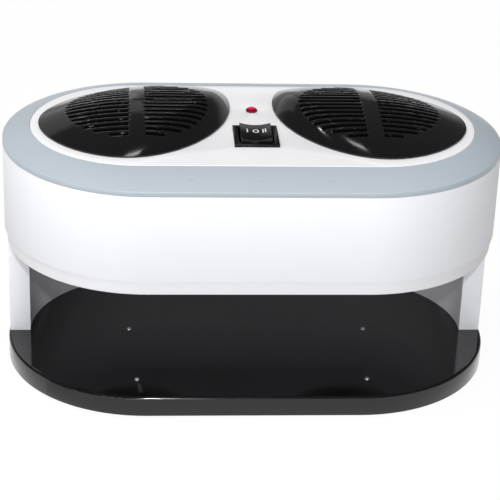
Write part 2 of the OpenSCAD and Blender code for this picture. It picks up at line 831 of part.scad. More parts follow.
module fan_bearings(s) color([0.7, 0.71, 0.73]) for (z = [1, tube_top - bearing_h])
    at_fan(s, fan_z + z) difference() {
        cylinder(r = bearing_r - bearing_gap, h = bearing_h, $fn = low);
        translate([0, 0, -cut]) cylinder(r = shaft_r + run_gap, h = bearing_h + 2 * cut, $fn = low);
    }

module fan_bearings_left() fan_bearings(-1);
module fan_bearings_right() fan_bearings(1);

// four-pole core that sits on the boss of the bearing tube
module fan_stator(s) color([0.5, 0.5, 0.52]) at_fan(s, fan_z + tube_boss_h) difference() {
    union() {
        cylinder(r = tube_r + 2, h = stator_h, $fn = mid);
        for (a = [0 : 90 : 270]) rotate([0, 0, a]) {
            translate([0, -arm_w / 2, 0]) cube([stator_r - 0.8, arm_w, stator_h]);
            intersection() {
                difference() {
                    cylinder(r = stator_r, h = stator_h, $fn = mid);
                    translate([0, 0, -cut])
                        cylinder(r = stator_r - shoe_t, h = stator_h + 2 * cut, $fn = mid);
                }
                translate([0, -5.5, 0]) cube([stator_r, 11, stator_h]);
            }
        }
    }
    translate([0, 0, -cut]) cylinder(r = tube_r + bearing_gap, h = stator_h + 2 * cut, $fn = low);
}

module fan_stator_left() fan_stator(-1);
module fan_stator_right() fan_stator(1);

module stator_coils(s) color([0.72, 0.4, 0.18]) at_fan(s, fan_z + tube_boss_h)
    for (a = [0 : 90 : 270]) rotate([0, 0, a]) difference() {
        translate([coil_x0, -coil_w / 2, -coil_over])
            cube([coil_x1 - coil_x0, coil_w, stator_h + 2 * coil_over]);
        translate([0, -arm_w / 2 - 0.03, -0.03]) cube([stator_r, arm_w + 0.06, stator_h + 0.06]);
    }

module stator_coils_left() stator_coils(-1);
module stator_coils_right() stator_coils(1);

module fan_circuit(s) color([0.12, 0.38, 0.2]) at_fan(s, fan_z + hub_base_h) difference() {
    cylinder(r = hub_base_r - spoke_in - fit_gap, h = fan_board_t, $fn = mid);
    translate([0, 0, -cut]) cylinder(r = tube_boss_r + 0.1, h = fan_board_t + 2 * cut, $fn = mid);
}

module fan_circuit_left() fan_circuit(-1);
module fan_circuit_right() fan_circuit(1);

module fan_screws() color(steel) fan_spots() corner_spots()
    translate([0, 0, fan_z + fan_t]) screw_down(fan_t + fan_screw_deep, fan_screw_r);

// ---- rocker switch -------------------------------------------------------

module at_switch() translate([0, -switch_y, panel_z]) children();

module box(w, d, z0, z1) translate([-w / 2, -d / 2, z0]) cube([w, d, z1 - z0]);

module switch_body() color(black) at_switch() difference() {
    union() {
        box(bezel_w, bezel_d, 0, bezel_h);
        box(switch_w, switch_d, -switch_body_h, bezel_h / 2);
        // barbs under the panel
        for (s = [-1, 1]) translate([s * switch_w / 2, 0, -panel_t - edge_gap - 1.5])
            box(2 * (hole_gap + 0.8), 8, 0, 1.5);
    }
    box(switch_w - 2 * body_wall, switch_d - 2 * body_wall, -switch_body_h + body_wall, bezel_h + cut);
    // blind bearings of the rocker in the front and back walls
    rotate([90, 0, 0])
        cylinder(r = pivot_r + pivot_gap, h = rocker_d + 2 * pivot_len + 0.4, center = true, $fn = low);
    switch_blades(0.05);
}

// six blades in two rows; grow widens them into their slots in the floor
module switch_blades(grow = 0) for (sy = [-1, 1]) for (k = [-1, 0, 1])
    translate([k * throw_x, sy * pole_y, 0])
        box(terminal_t + 2 * grow, terminal_w + 2 * grow, -switch_body_h - terminal_long,
            k == 0 ? bead_z - bead_r - run_gap : fixed_top);

module switch_terminals() color([0.85, 0.75, 0.5]) at_switch() switch_blades();

// hollowed top, rounded sides that clear the bezel, and two stub axles
module switch_rocker() color(black) at_switch() {
    dish = 30;
    dish_deep = 1.6;
    difference() {
        union() {
            box(rocker_w, rocker_d, rocker_low, rocker_h);
            rotate([90, 0, 0])
                cylinder(r = pivot_r, h = rocker_d + 2 * pivot_len, center = true, $fn = low);
        }
        translate([0, 0, rocker_h + dish - dish_deep]) rotate([90, 0, 0])
            cylinder(r = dish, h = bezel_d, center = true, $fn = fine);
        for (sy = [-1, 1]) translate([0, sy * pole_y, rocker_low - cut])
            cylinder(r = plunger_bore, h = spring_top - rocker_low + cut, $fn = low);
        // chamfers that clear the housing when the rocker tips
        for (s = [0, 1]) mirror([s, 0, 0]) translate([rocker_w / 2, 0, rocker_low])
            rotate([0, 45, 0]) cube([3, bezel_d, 3], center = true);
    }
}

module switch_plungers() color([0.92, 0.92, 0.9]) at_switch() for (sy = [-1, 1])
    translate([0, sy * pole_y, 0]) {
        translate([0, 0, plunger_low + plunger_r])
            cylinder(r = plunger_r, h = plunger_top - plunger_low - plunger_r, $fn = low);
        translate([0, 0, plunger_low + plunger_r]) sphere(r = plunger_r, $fn = low);
    }

function unit(v) = v / norm(v);

// helix of round wire between the plunger and the rocker
function helix(r, wire, h, turns, step) = [for (i = [0 : turns * step])
    [r * cos(360 * i / step), r * sin(360 * i / step), h * i / (turns * step)]];

// round tube along a path, square to it at every point; side is any direction
// that the path never runs in
module tube_along(path, r, sides = 6, side = [0, 0, 1]) {
    n = len(path);
    rings = [for (i = [0 : n - 1]) let (
        d = path[min(i + 1, n - 1)] - path[max(i - 1, 0)],
        w = unit(d), a = unit(cross(w, side)), b = cross(w, a))
        for (k = [0 : sides - 1])
            path[i] + r * (cos(360 * k / sides) * a + sin(360 * k / sides) * b)];
    polyhedron(points = rings, faces = concat(
        [[for (k = [sides - 1 : -1 : 0]) k]],
        [for (i = [0 : n - 2]) for (k = [0 : sides - 1]) each let (
            p = i * sides + k, q = i * sides + (k + 1) % sides)
            [[p, q, q + sides], [p, q + sides, p + sides]]],
        [[for (k = [0 : sides - 1]) (n - 1) * sides + k]]));
}

module switch_springs() color(steel) at_switch() for (sy = [-1, 1])
    translate([0, sy * pole_y, plunger_top + spring_wire])
        tube_along(helix(plunger_r - spring_wire, spring_wire,
            spring_top - plunger_top - 2 * spring_wire, spring_turns, 10), spring_wire);

module switch_contacts() color([0.8, 0.55, 0.3]) at_switch() for (sy = [-1, 1])
    translate([0, sy * pole_y, 0]) {
        box(contact_len, contact_w, contact_top - contact_t, contact_top);
        // bead that rocks on the middle blade, and a contact point at each end
        translate([0, 0, bead_z]) rotate([90, 0, 0])
            cylinder(r = bead_r, h = contact_w, center = true, $fn = low);
        for (s = [-1, 1]) translate([s * throw_x, 0, contact_top - contact_t - 0.5])
            cylinder(r = 1.2, h = 0.6, $fn = low);
    }

// ---- indicator lamp ------------------------------------------------------

module at_lamp() translate([0, lamp_y, panel_z]) children();

module lamp_lens() color([0.75, 0.05, 0.15]) at_lamp() difference() {
    union() {
        translate([0, 0, -lens_stem]) cylinder(r = lens_stem_r, h = lens_stem + lens_cap / 2, $fn = low);
        cylinder(r = lens_d / 2, h = lens_cap, $fn = mid);
        // shallow dome on the cap
        intersection() {
            cylinder(r = lens_d / 2, h = lens_d, $fn = mid);
            translate([0, 0, lens_cap + 1.6 - lens_ball]) sphere(r = lens_ball, $fn = mid);
        }
    }
    translate([0, 0, -lens_stem - cut]) cylinder(r = bulb_r + 0.15, h = lens_stem + cut, $fn = low);
}

// radius of the sphere that rounds the lens over 1.6 mm of height
lens_ball = (pow(lens_d / 2, 2) + pow(1.6, 2)) / 3.2;

module lamp_bulb() color([0.95, 0.6, 0.4]) at_lamp() {
    translate([0, 0, -lens_stem]) cylinder(r = bulb_r, h = lens_stem - bulb_r - 0.2, $fn = low);
    translate([0, 0, -bulb_r - 0.2]) sphere(r = bulb_r, $fn = low);
}

module lamp_clip() color(steel) at_lamp() translate([0, 0, -panel_t - clip_t]) difference() {
    cylinder(r = lens_stem_r + 3, h = clip_t, $fn = low);
    translate([0, 0, -cut]) cylinder(r = lens_stem_r + 0.05, h = clip_t + 2 * cut, $fn = low);
}

// ---- circuit board -------------------------------------------------------

module circuit_board() color([0.13, 0.4, 0.22]) difference() {
    translate([-board_w / 2, board_y0, board_top - board_t]) cube([board_w, board_y1 - board_y0, board_t]);
    at_each(board_spots) translate([0, 0, board_top - board_t - cut])
        cylinder(r = board_screw_r + 0.1, h = board_t + 2 * cut, $fn = low);
}

// choke, capacitor, relay, plug strip and terminal block
module board_parts() color([0.25, 0.25, 0.27]) translate([0, 0, board_top]) {
    translate([-choke_w / 2, choke_y - choke_w / 2, 0]) cube([choke_w, choke_w, choke_h]);
    translate([-6, -10, 0]) cylinder(r = cap_r, h = choke_h, $fn = low);
    translate([3, -18, 0]) cube([relay_w, relay_d, relay_h]);
    translate([-choke_w / 2, plug_y - plug_h / 2, 0]) cube([choke_w, plug_h, plug_h]);
    translate([-block_w / 2, block_y - block_w / 4, 0]) cube([block_w, block_w / 2, block_h]);
}

module board_screws() color(steel) at_each(board_spots)
    translate([0, 0, board_top]) screw_down(board_screw_len, board_screw_r);

// ---- mains inlet ---------------------------------------------------------

module inlet_opening(grow) translate([0, body_r, inlet_z]) rotate([90, 0, 0])
    translate([-inlet_w / 2 - grow, -inlet_h / 2 - grow, -cut])
        cube([inlet_w + 2 * grow, inlet_h + 2 * grow, wall + 2 * cut]);

module inlet_socket() color(black) difference() {
    union() {
        translate([-inlet_w / 2, body_r - inlet_deep - inlet_web, inlet_z - inlet_h / 2])
            cube([inlet_w, inlet_deep + inlet_web, inlet_h]);
        translate([-inlet_w / 2 - inlet_flange, body_r - wall - inlet_flange_t,
            inlet_z - inlet_h / 2 - inlet_flange])
            cube([inlet_w + 2 * inlet_flange, inlet_flange_t, inlet_h + 2 * inlet_flange]);
    }
    translate([0, body_r - inlet_deep, inlet_z]) rotate([-90, 0, 0]) linear_extrude(inlet_deep + cut)
        outline(recess_r, recess_half);
    inlet_rods(0.02);
}

module inlet_rods(grow) for (s = [-1, 1])
    translate([s * pin_x, body_r - inlet_deep - inlet_web - pin_tail, inlet_z]) rotate([-90, 0, 0])
        cylinder(r = pin_r + grow, h = inlet_deep + inlet_web + pin_tail - 2, $fn = low);

module inlet_pins() color(steel) inlet_rods(0);

// ---- wiring --------------------------------------------------------------

// cuts each corner of a path, so that a wire bends in two easy steps
function eased(path, cut_back) = [for (i = [0 : len(path) - 1]) each
    i == 0 || i == len(path) - 1 ? [path[i]] : [for (k = [-1, 1])
        path[i] + cut_back * unit(path[i + k] - path[i])]];

module wire(path, side = [1, 0, 0]) tube_along(eased(path, 1.5 * wire_r), wire_r, 8, side);

// leads from the terminal block to the switch, and from the board to the
// inlet, the lamp and the heaters, in the space between the two fans
module wiring_loom() color([0.7, 0.1, 0.1]) {
    block_top = board_top + block_h;
    blade_low = panel_z - switch_body_h - terminal_long;
    for (k = [-1, 0, 1]) for (sy = [-1, 1]) {
        from_y = block_y + sy * 2.5;
        to_y = -switch_y + sy * pole_y;
        wire([[k * throw_x, from_y, block_top], [k * throw_x, from_y, blade_low - 8],
            [k * throw_x, to_y, blade_low - 4], [k * throw_x, to_y, blade_low]]);
    }
    for (s = [-1, 1]) {
        wire([[s * pin_x, body_r - inlet_deep - inlet_web - pin_tail, inlet_z],
            [s * pin_x, plug_y, inlet_z], [s * pin_x, plug_y, board_top + plug_h]]);
        wire([[s * 1.3, lamp_y, panel_z - lens_stem], [s * 1.3, lamp_y, board_top + 30],
            [s * 1.3, choke_y, board_top + choke_h + 8], [s * 1.3, choke_y, board_top + choke_h]]);
        // both ends of the heater tube, out through the notch in the duct
        lead_z = heater_z + heater_r + 2.5;
        for (lead = [[fan_x - heater_step / 2 - heater_reach, fan_y],
            [fan_x + heater_step / 2 - heater_r0, fan_y - 4]])
            wire([[s * lead[0], fan_y, heater_z + heater_r], [s * lead[0], lead[1], lead_z],
                [s * lead_x, lead[1], lead_z], [s * lead_x, lead[1], board_top]], [0.3, 1, 0]);
    }
}

base_tray();
base_cover();
rubber_feet();
cover_screws();
rear_wall();
wall_liner();
wall_screws();
lower_housing();
upper_housing();
trim_ring();
trim_screws();
top_panel();
housing_screws();
dome_grille_left();
dome_grille_right();
outlet_grille_left();
outlet_grille_right();
air_duct_left();
air_duct_right();
heater_frame_left();
heater_frame_right();
heater_tube_left();
heater_tube_right();
thermal_cutouts();
fan_frame_left();
fan_frame_right();
fan_rotor_left();
fan_rotor_right();
rotor_magnet_left();
rotor_magnet_right();
fan_shaft_left();
fan_shaft_right();
fan_bearings_left();
fan_bearings_right();
fan_stator_left();
fan_stator_right();
stator_coils_left();
stator_coils_right();
fan_circuit_left();
fan_circuit_right();
fan_screws();
switch_body();
switch_rocker();
switch_plungers();
switch_springs();
switch_contacts();
switch_terminals();
lamp_lens();
lamp_bulb();
lamp_clip();
circuit_board();
board_parts();
board_screws();
inlet_socket();
inlet_pins();
wiring_loom();
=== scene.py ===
# %% [markdown]
# # A twin-fan nail dryer
# The dryer stands on a table. A glossy black base slab carries a C-shaped rear wall, and the
# wall carries a long white housing with round ends. Two glossy black domes on top let air in,
# two fans push it down past a heater, and the hands rest on the base. This lesson loads the
# dryer's engineering model as a fixed frame and gives it the look of the real one. Every
# length is in metres, written through the constant mm.

# %% Load the frame
import json
import math

import bmesh
import bpy
from mathutils import Euler, Matrix, Vector


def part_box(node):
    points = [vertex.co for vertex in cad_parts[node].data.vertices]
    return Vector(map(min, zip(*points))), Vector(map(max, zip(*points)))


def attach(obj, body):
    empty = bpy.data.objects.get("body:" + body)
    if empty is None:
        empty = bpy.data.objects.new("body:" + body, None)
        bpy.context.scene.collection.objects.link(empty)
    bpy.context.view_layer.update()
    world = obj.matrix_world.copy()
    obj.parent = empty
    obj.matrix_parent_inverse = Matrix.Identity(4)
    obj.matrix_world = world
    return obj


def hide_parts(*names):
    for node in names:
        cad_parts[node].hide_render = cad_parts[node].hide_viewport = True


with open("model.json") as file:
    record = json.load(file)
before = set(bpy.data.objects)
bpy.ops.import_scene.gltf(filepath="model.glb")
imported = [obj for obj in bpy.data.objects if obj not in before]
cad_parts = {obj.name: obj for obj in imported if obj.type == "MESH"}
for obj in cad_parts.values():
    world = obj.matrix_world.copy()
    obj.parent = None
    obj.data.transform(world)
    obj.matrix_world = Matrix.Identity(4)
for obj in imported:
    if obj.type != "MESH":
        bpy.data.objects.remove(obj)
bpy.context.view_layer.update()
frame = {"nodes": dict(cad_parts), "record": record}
mm = 0.001
print("engineering model:", len(frame["nodes"]), "nodes")

# %% [markdown]
# ## Small helpers
# Paint and plastic colours are easiest to note as sRGB hex values, but Blender's shaders work
# in linear light. One function turns one into the other. A second one adds a shader node with
# its settings and its links, which keeps each material to a few readable lines. A third starts
# a material with one Principled shader, which can be plastic, metal or glass.

# %% Colour and node helpers
def linear(hex_colour):
    """An sRGB hex colour as linear red, green, blue and alpha."""
    parts = [int(hex_colour[i:i + 2], 16) / 255 for i in (0, 2, 4)]
    return [p / 12.92 if p <= 0.04045 else ((p + 0.055) / 1.055) ** 2.4 for p in parts] + [1.0]


def add(tree, kind, inputs=None, **settings):
    """Adds a node. An input is a number, a colour or another node's output socket."""
    made = tree.nodes.new(kind)
    for name, value in settings.items():
        setattr(made, name, value)
    for name, value in (inputs or {}).items():
        if isinstance(value, bpy.types.NodeSocket):
            tree.links.new(value, made.inputs[name])
        else:
            made.inputs[name].default_value = value
    return made


def finish_of(name, colour, **shader_inputs):
    """A new material with one Principled shader; returns it with its tree and shader."""
    made = bpy.data.materials.new(name)
    made.use_nodes = True
    tree = made.node_tree
    shader = tree.nodes["Principled BSDF"]
    shader.inputs["Base Color"].default_value = linear(colour)
    for key, value in shader_inputs.items():
        shader.inputs[key.replace("_", " ")].default_value = value
    return made, tree, shader


# %% [markdown]
# ## The camera
# The camera stands in front of the dryer, a little to its left, and looks down on it. Its
# place, its turn and its long lens were worked out from the dryer's straight edges and its
# round outlines in the picture, which is 500 pixels wide. A small shift of the lens puts the
# middle of the view where it is in the picture, without turning the camera.

# %% Camera
picture_px = 500
focal_px = 1849.3
sensor_mm = 36
middle_px = (257.0, 249.1)
camera_place = Vector((-76.9, -1029.9, 570.9)) * mm
look_down, look_right, lean_over = 25.83, 4.54, 2.13

camera_data = bpy.data.cameras.new("camera")
camera_data.sensor_width = sensor_mm
camera_data.lens = focal_px / picture_px * sensor_mm
camera_data.shift_x = (picture_px / 2 - middle_px[0]) / picture_px
camera_data.shift_y = (middle_px[1] - picture_px / 2) / picture_px
camera = bpy.data.objects.new("camera", camera_data)
bpy.context.scene.collection.objects.link(camera)
camera.location = camera_place
turn = Euler((math.radians(90 - look_down), 0, -math.radians(look_right))).to_matrix()
roll = Matrix.Rotation(math.radians(lean_over), 3, "Z")
camera.rotation_euler = (turn @ roll).to_euler()
bpy.context.scene.camera = camera
print("lens", round(camera_data.lens, 1), "mm")

# %% [markdown]
# ## The studio floor
# The picture is a product shot on pure white. Brighter lamps would turn a grey floor white, but
# they would wash out the dryer too. So the floor glows white for the camera, in reflections and
# through glass, and stays a dimmer paper for the light that it throws on the dryer. A tenth of
# its own shading is mixed in, which keeps the dryer's soft shadow. Open paper is lit to about
# half of white, so the glow is made a little stronger until both add up to white.

# %% Floor
floor_size = 8.0
shade_kept, lit_paper = 0.1, 0.5
white_level = (1 - shade_kept * lit_paper) / (1 - shade_kept)
floor_mesh = bmesh.new()
bmesh.ops.create_grid(floor_mesh, x_segments=1, y_segments=1, size=floor_size / 2)
floor_data = bpy.data.meshes.new("floor")
floor_mesh.to_mesh(floor_data)
floor_mesh.free()
floor = bpy.data.objects.new("floor", floor_data)
bpy.context.scene.collection.objects.link(floor)

# Backdrop paper is dull and has no highlight at all.
paper, tree, shader = finish_of("white_backdrop_paper", "C8C8C8", Roughness=0.9, Specular_IOR_Level=0.0)
paths = add(tree, "ShaderNodeLightPath")
seen = add(tree, "ShaderNodeMath",
           {0: paths.outputs["Is Camera Ray"], 1: paths.outputs["Is Glossy Ray"]}, operation="MAXIMUM")
seen = add(tree, "ShaderNodeMath",
           {0: seen.outputs[0], 1: paths.outputs["Is Transmission Ray"]}, operation="MAXIMUM")
glow = add(tree, "ShaderNodeEmission", {"Color": (1, 1, 1, 1), "Strength": white_level})
share = add(tree, "ShaderNodeMath", {0: seen.outputs[0], 1: 1 - shade_kept}, operation="MULTIPLY")
mixed = add(tree, "ShaderNodeMixShader", {0: share.outputs[0], 1: shader.outputs[0], 2: glow.outputs[0]})
tree.links.new(mixed.outputs[0], tree.nodes["Material Output"].inputs["Surface"])
floor_data.materials.append(paper)
print("floor", floor_size, "m, glow", round(white_level, 3))

# %% [markdown]
# ## The room
# The world does three jobs. The camera sees it white, also through glass. The surfaces of the
# dryer get a soft room light from it, which is stronger from the left and weaker from overhead.
# Glossy surfaces mirror a darker room, with a bright horizon under a dark ceiling, as in a real
# studio, so that black plastic looks black.

# %% World
room_light, dark_ceiling, bright_horizon = 0.42, 0.12, 0.4
room_tilt = (-0.3, -0.05, -0.15)
horizon_end, ceiling_start = 0.05, 0.35
world = bpy.data.worlds.new("studio")
bpy.context.scene.world = world
world.use_nodes = True
tree = world.node_tree
tree.nodes.clear()
paths = add(tree, "ShaderNodeLightPath")
seen = add(tree, "ShaderNodeMath",
           {0: paths.outputs["Is Camera Ray"], 1: paths.outputs["Is Transmission Ray"]}, operation="MAXIMUM")
direction = add(tree, "ShaderNodeTexCoord").outputs["Generated"]
way = add(tree, "ShaderNodeSeparateXYZ", {"Vector": direction})
tilt = add(tree, "ShaderNodeVectorMath", {0: direction, 1: room_tilt}, operation="DOT_PRODUCT")
room = add(tree, "ShaderNodeMath", {0: tilt.outputs["Value"], 1: room_light}, operation="ADD")
studio = add(tree, "ShaderNodeMapRange",
             {"Value": way.outputs["Z"], "From Min": horizon_end, "From Max": ceiling_start,
              "To Min": bright_horizon, "To Max": dark_ceiling}, interpolation_type="SMOOTHSTEP")
shown = add(tree, "ShaderNodeMix",
            {"Factor": paths.outputs["Is Glossy Ray"], "A": room.outputs[0], "B": studio.outputs[0]})
level = add(tree, "ShaderNodeMix", {"Factor": seen.outputs[0], "A": shown.outputs[0], "B": 1.0})
sky = add(tree, "ShaderNodeBackground", {"Color": (1, 1, 1, 1), "Strength": level.outputs[0]})
add(tree, "ShaderNodeOutputWorld", {"Surface": sky.outputs[0]})
bpy.context.scene.view_settings.view_transform = "Standard"
print("room light", room_light, "ceiling", dark_ceiling)

# %% [markdown]
# ## The lamps
# Large softboxes give the white shells their even, soft light. A small key lamp above and behind
# the camera throws the edge of the housing's shadow on to the grey lining. The softbox overhead
# is hidden from reflections, because the black domes would mirror it as a wide grey patch. A
# dim panel behind the left side shows in the left dome, and two small lamps glint on its slats.

# %% Lamps
def softbox(name, place, target, size, watts):
    """A rectangular studio lamp that faces a target."""
    data = bpy.data.lights.new(name, "AREA")
    data.shape = "RECTANGLE"
    data.size, data.size_y = size
    data.energy = watts
    lamp = bpy.data.objects.new(name, data)
    bpy.context.scene.collection.objects.link(lamp)
    lamp.location = place
    lamp.rotation_euler = (Vector(target) - Vector(place)).to_track_quat("-Z", "Y").to_euler()
    print(name, watts, "W")
    return lamp


softbox("key_lamp", (-0.1, -2.1, 1.46), (0, 0, 0.08), (0.08, 0.08), 17.5)
softbox("fill_softbox", (-0.45, -1.9, 0.3), (0, 0, 0.08), (1.0, 0.5), 7)
top_lamp = softbox("top_softbox", (-0.3, -0.4, 1.5), (0, 0, 0.15), (1.0, 0.7), 13)
top_lamp.visible_glossy = False
softbox("back_softbox", (-0.72, 2.0, 0.95), (0, 0, 0.15), (1.4, 1.1), 1.5)
softbox("slat_glint_outer", (-0.47, 0.7, 1.43), (-0.1, 0, 0.16), (0.05, 0.05), 0.2)
softbox("slat_glint_inner", (-0.014, 0.69, 1.5), (-0.05, 0, 0.16), (0.15, 0.05), 0.2)

# %% [markdown]
# ## Moulded finishes
# Most of the dryer is injection-moulded plastic. A steel mould leaves its own texture on the
# plastic, with a grain of about 0.2 mm. That is too fine to show at this distance, so its bump
# is drawn at 1.2 mm and kept very weak: it only breaks up the reflections, as the real one
# does. A second, wide noise lets the roughness vary, because no moulding is equally dull all
# over. Both read object coordinates, so they stay on the surface when a part moves.

# %% Moulded plastic
plastic_ior = 1.52
mottle_width = 25 * mm
noise_low, noise_high = 0.3, 0.7


def moulded(name, colour, roughness, grain=1.2 * mm, depth=0.02 * mm, mottle=0.04, **more):
    """Moulded plastic: a faint surface grain, and roughness that varies a little."""
    made, tree, shader = finish_of(name, colour, Roughness=roughness, IOR=plastic_ior, **more)
    place = add(tree, "ShaderNodeTexCoord").outputs["Object"]
    fine = add(tree, "ShaderNodeTexNoise", {"Vector": place, "Scale": 1 / grain, "Detail": 2.0})
    wide = add(tree, "ShaderNodeTexNoise", {"Vector": place, "Scale": 1 / mottle_width, "Detail": 3.0})
    rough = add(tree, "ShaderNodeMapRange",
                {"Value": wide.outputs["Fac"], "From Min": noise_low, "From Max": noise_high,
                 "To Min": roughness - mottle, "To Max": roughness + mottle})
    tree.links.new(rough.outputs[0], shader.inputs["Roughness"])
    bump = add(tree, "ShaderNodeBump", {"Height": fine.outputs["Fac"], "Distance": depth, "Strength": 1.0})
    tree.links.new(bump.outputs[0], shader.inputs["Normal"])
    return made


# %% Finishes that show
finishes = {
    # Satin ABS: wide soft highlights. The strip and the panel are separate mouldings in other whites.
    "white_housing": moulded("satin_white_abs", "F1F2F7", 0.38),
    "white_strip": moulded("satin_white_abs_lower", "EDECF1", 0.4),
    "white_panel": moulded("satin_white_abs_panel", "F4F4F6", 0.36),
    # Painted ABS: the paint fills the mould's texture, so the sheen is smoother.
    "silver_trim": moulded("pale_silver_painted_abs", "B2BCC4", 0.34, depth=0.004 * mm),
    # ABS from a polished mould: a near mirror, with the slow waves of a moulded surface.
    "gloss_black": moulded("polished_black_abs", "0C0C0D", 0.1, grain=9 * mm, depth=0.01 * mm, mottle=0.02),
    # ABS from a mould left rough: dull, so that the lining shows shadows and no reflections.
    "grey_lining": moulded("matt_grey_abs", "DEDCE2", 0.6, depth=0.05 * mm),
    # Nylon of a switch: smooth and very dark, with weak reflections.
    "switch_black": moulded("satin_black_nylon", "0A0A0C", 0.18, grain=1 * mm, depth=0.006 * mm,
                            Specular_IOR_Level=0.25),
    # Undyed nylon: slightly warm, which also suits the printed white of the legends.
    "nylon": moulded("natural_nylon", "E6E6E0", 0.45),
    # Glass-filled nylon: a dull black skin.
    "inlet_black": moulded("black_inlet_nylon", "101012", 0.5),
    # Rubber: no highlight, only a faint sheen on its texture.
    "black_rubber": moulded("moulded_black_rubber", "141414", 0.85, depth=0.06 * mm),
}

# %% Finishes inside
finishes.update({
    # Textured ABS of the grilles, the fan frames and the bottom cover: dull, which hides scratches.
    "matte_black": moulded("textured_black_abs", "18181A", 0.6, depth=0.05 * mm),
    # A mineral-filled moulding of the hot ducts: chalky cream.
    "heat_plastic": moulded("matt_heat_resistant_moulding", "DCD7CA", 0.6),
    # Laminated mica: tan, with flakes a few millimetres wide.
    "mica": moulded("laminated_mica_sheet", "CDBB93", 0.45, grain=3 * mm),
    # Phenolic case of the cut-outs: dull brown.
    "cutout_case": moulded("moulded_cutout_case", "9A8C72", 0.5),
    # PBT of the rotors: satin black.
    "fan_black": moulded("moulded_black_pbt", "161617", 0.45),
    # Bonded ferrite: dark grey and dull.
    "magnet": moulded("bonded_ferrite", "3C3A3A", 0.6),
    # Solder mask over copper: green, with the low waves of the tracks below it.
    "board_green": moulded("green_solder_mask", "1C5A2F", 0.35, grain=2.5 * mm),
    # Epoxy and phenolic cases of the board's parts: dark grey, with a soft sheen.
    "board_parts_black": moulded("moulded_component_cases", "26262A", 0.45),
    # Silicone rubber jacket: soft and satin.
    "wire_red": moulded("silicone_wire_jacket", "99181A", 0.55),
})
print("moulded finishes:", len(finishes))

# %% [markdown]
# ## Metals
# Screws, shafts and blades are plated or plain metal. Rolled, drawn and stamped metal carries
# fine streaks along the way it was worked. Cutting them into the mesh would cost far too many
# faces, so a noise that is stretched along the streaks drives the roughness instead. Real ones
# are less than 0.1 mm wide, too fine to show, so they are drawn 0.4 mm wide.

# %% Worked metal
streak_gloss, streak_dull = 0.1, 0.12


def worked_metal(name, colour, roughness, streak=(0.4 * mm, 0.4 * mm, 6 * mm)):
    """Metal with fine streaks; streak is their size along X, Y and Z."""
    made, tree, shader = finish_of(name, colour, Roughness=roughness, Metallic=1.0)
    place = add(tree, "ShaderNodeTexCoord").outputs["Object"]
    stretch = add(tree, "ShaderNodeMapping", {"Vector": place, "Scale": [1 / size for size in streak]})
    streaks = add(tree, "ShaderNodeTexNoise", {"Vector": stretch.outputs[0], "Scale": 1.0, "Detail": 3.0})
    rough = add(tree, "ShaderNodeMapRange",
                {"Value": streaks.outputs["Fac"], "To Min": roughness - streak_gloss,
                 "To Max": roughness + streak_dull})
    tree.links.new(rough.outputs[0], shader.inputs["Roughness"])
    return made


lamination = (3 * mm, 3 * mm, 0.5 * mm)
finishes.update({
    # Bright zinc: a pale, slightly blue shine.
    "plated_steel": worked_metal("bright_zinc_plate", "C4C7CC", 0.28),
    # Steel that has been hot: grey-brown oxide.
    "heater_steel": worked_metal("oxidised_steel_tube", "6E6B68", 0.45),
    # Stacked steel sheets of half a millimetre: thin level lines around the core.
    "core_steel": worked_metal("stacked_steel_laminations", "85878C", 0.45, lamination),
    # Copper under clear enamel: warm, with a soft shine.
    "copper": worked_metal("enamelled_copper", "B87333", 0.35),
    # Stamped brass: yellow, smooth where the tool slid.
    "terminal_brass": worked_metal("stamped_brass", "D1B56A", 0.32),
})
print("finishes with metals:", len(finishes))

# %% [markdown]
# ## Lens and lamp glass
# The indicator has a polished red acrylic lens over a small neon lamp. A see-through lens would
# need a lit lamp below it and many light paths. The lens is opaque here instead, and the lamp's
# light is painted into its colour: a painted glow of bright red over the lamp, which fades by the
# distance from the middle of its top to a painted shade of dark red at the rim.

# %% Lens and glass
lens_low, lens_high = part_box("lamp_lens")
lens_centre = (lens_low + lens_high) / 2
lens_axis = (lens_centre.x, lens_centre.y, lens_high.z)
painted_glow_r, painted_rim_shade_r = 1.0 * mm, 3.3 * mm

# Acrylic takes a high polish: a clear mirror-like skin over a deep colour.
lens_red_painted_glow, tree, shader = finish_of("polished_red_acrylic_painted_glow", "B00A22", Roughness=0.12, IOR=1.49)
place = add(tree, "ShaderNodeTexCoord").outputs["Object"]
# Painted light: the lamp below is not lit, so its glow is painted in. The colour is bright red over the lamp
# and fades to a painted shade of dark red at the rim.
off_axis = add(tree, "ShaderNodeVectorMath", {0: place, 1: lens_axis}, operation="DISTANCE")
painted_rim_shade = add(tree, "ShaderNodeMapRange",
                {"Value": off_axis.outputs["Value"], "From Min": painted_glow_r, "From Max": painted_rim_shade_r},
                interpolation_type="SMOOTHSTEP")
lens_colour_with_painted_glow = add(tree, "ShaderNodeMix",
                  {"Factor": painted_rim_shade.outputs[0], "A": linear("F4205A"), "B": linear("70001A")},
                  data_type="RGBA")
tree.links.new(lens_colour_with_painted_glow.outputs[2], shader.inputs["Base Color"])
finishes["red_lens"] = lens_red_painted_glow

# Clear glass of the neon lamp, tinted by the gas.
finishes["neon_glass"] = finish_of("clear_neon_glass", "F2C0A0", Roughness=0.05, IOR=1.5,
                                   Transmission_Weight=0.85)[0]
print("lens on", [round(value / mm, 1) for value in lens_axis], "mm")

# %% [markdown]
# ## Dress the engineering parts
# The record of the engineering model says which finish each of its parts has. Parts inside keep
# their engineering mesh, and only get that finish.

# %% Put the finishes on
slot_of = {part["node"]: part["material_slot"] for part in frame["record"]["subparts"]}
for name, part in frame["nodes"].items():
    if not part.data.materials:
        part.data.materials.append(None)
    for holder in part.material_slots:
        holder.material = finishes[slot_of[name]]
print("dressed parts:", len(slot_of), "in", len(finishes), "finishes")

# %% [markdown]
# ## Sizes taken from the engineering model
# The shells that show are modelled again with softer edges, and they have to fit the parts that
# carry them. So their sizes are read from the boxes of those parts. All rings of the dryer share
# one outline, a stadium: a straight stretch between two half circles.

